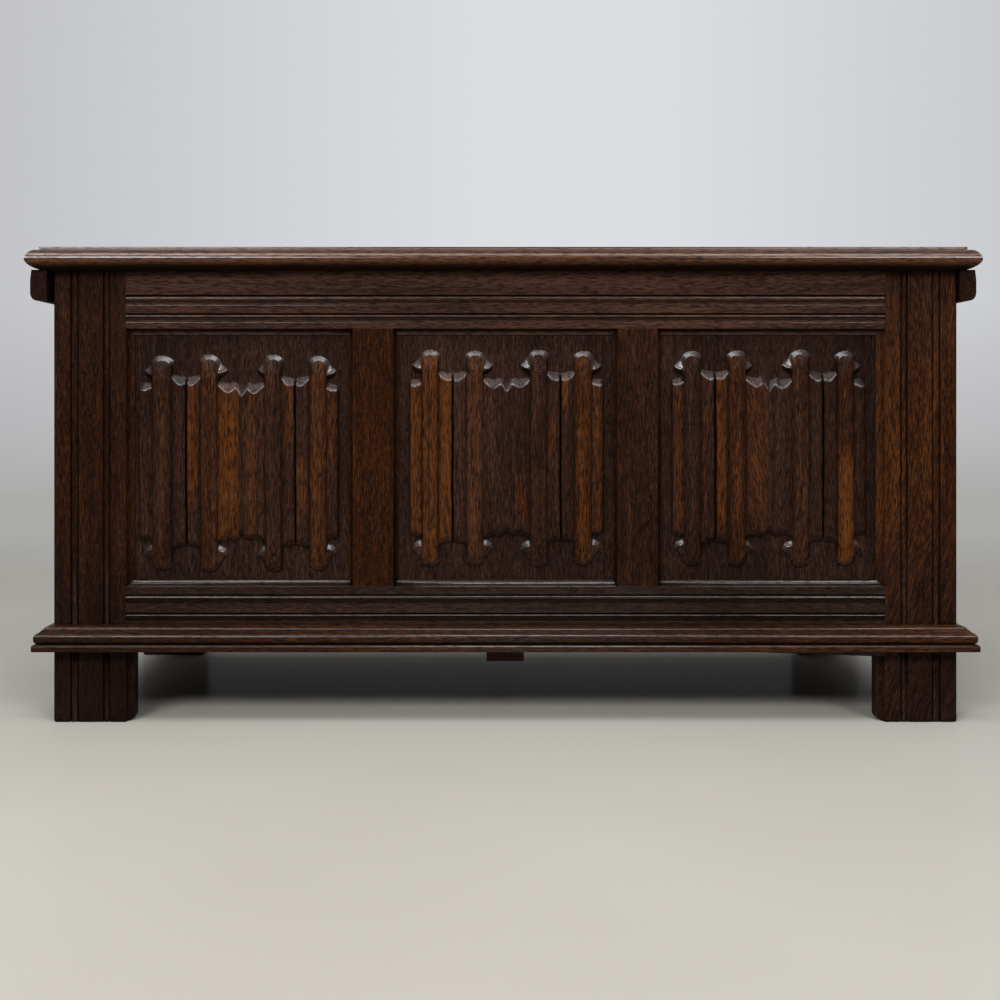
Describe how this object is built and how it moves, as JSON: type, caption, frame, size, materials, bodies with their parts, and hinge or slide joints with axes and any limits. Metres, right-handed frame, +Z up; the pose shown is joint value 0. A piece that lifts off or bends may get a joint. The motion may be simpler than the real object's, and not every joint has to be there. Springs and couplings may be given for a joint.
{
  "type": "coffer chest",
  "caption": "Dark oak coffer chest with linenfold panels, a base moulding, leg posts and a hinged bullnosed lid.",
  "frame": {"origin": "on the floor, under the middle of the chest's box", "axes": "+X to the right along the front, seen from the front; +Y to the back, where the hinges are; +Z up"},
  "size_m": [1.255, 0.5268, 0.63],
  "materials": {
    "dark_oak": "waxed",
    "inner_oak": "matte",
    "hinge_iron": "satin"
  },
  "bodies": {
    "carcass": {"back_bottom_rail": "dark_oak", "back_muntin_left": "dark_oak", "back_muntin_right": "dark_oak", "back_panel_centre": "dark_oak", "back_panel_left": "dark_oak", "back_panel_right": "dark_oak", "back_stile_left": "dark_oak", "back_stile_right": "dark_oak", "back_top_rail": "dark_oak", "base_moulding_front": "dark_oak", "base_moulding_left": "dark_oak", "base_moulding_right": "dark_oak", "bottom_bearer": "inner_oak", "bottom_board_back": "inner_oak", "bottom_board_front": "inner_oak", "bottom_board_middle": "inner_oak", "bottom_ledger_left": "inner_oak", "bottom_ledger_right": "inner_oak", "front_bottom_rail": "dark_oak", "front_muntin_left": "dark_oak", "front_muntin_right": "dark_oak", "front_panel_centre": "dark_oak", "front_panel_left": "dark_oak", "front_panel_right": "dark_oak", "front_stile_left": "dark_oak", "front_stile_right": "dark_oak", "front_top_rail": "dark_oak", "hinge_leaf_carcass_left": "hinge_iron", "hinge_leaf_carcass_right": "hinge_iron", "hinge_pin_left": "hinge_iron", "hinge_pin_right": "hinge_iron", "side_bottom_rail_left": "dark_oak", "side_bottom_rail_right": "dark_oak", "side_panel_left": "dark_oak", "side_panel_right": "dark_oak", "side_stile_back_left": "dark_oak", "side_stile_back_right": "dark_oak", "side_stile_front_left": "dark_oak", "side_stile_front_right": "dark_oak", "side_top_rail_left": "dark_oak", "side_top_rail_right": "dark_oak"},
    "lid": {"hinge_leaf_lid_left": "hinge_iron", "hinge_leaf_lid_right": "hinge_iron", "lid_board_back": "dark_oak", "lid_board_front": "dark_oak", "lid_board_middle": "dark_oak", "lid_cleat_left": "dark_oak", "lid_cleat_right": "dark_oak"}
  },
  "joints": [
    {"name": "lid_hinge", "type": "hinge", "parent": "carcass", "child": "lid", "pos_m": [0.003, 0.25895, 0.59985], "axis": [-1, 0, 0], "range_deg": [0, 100]}
  ]
}
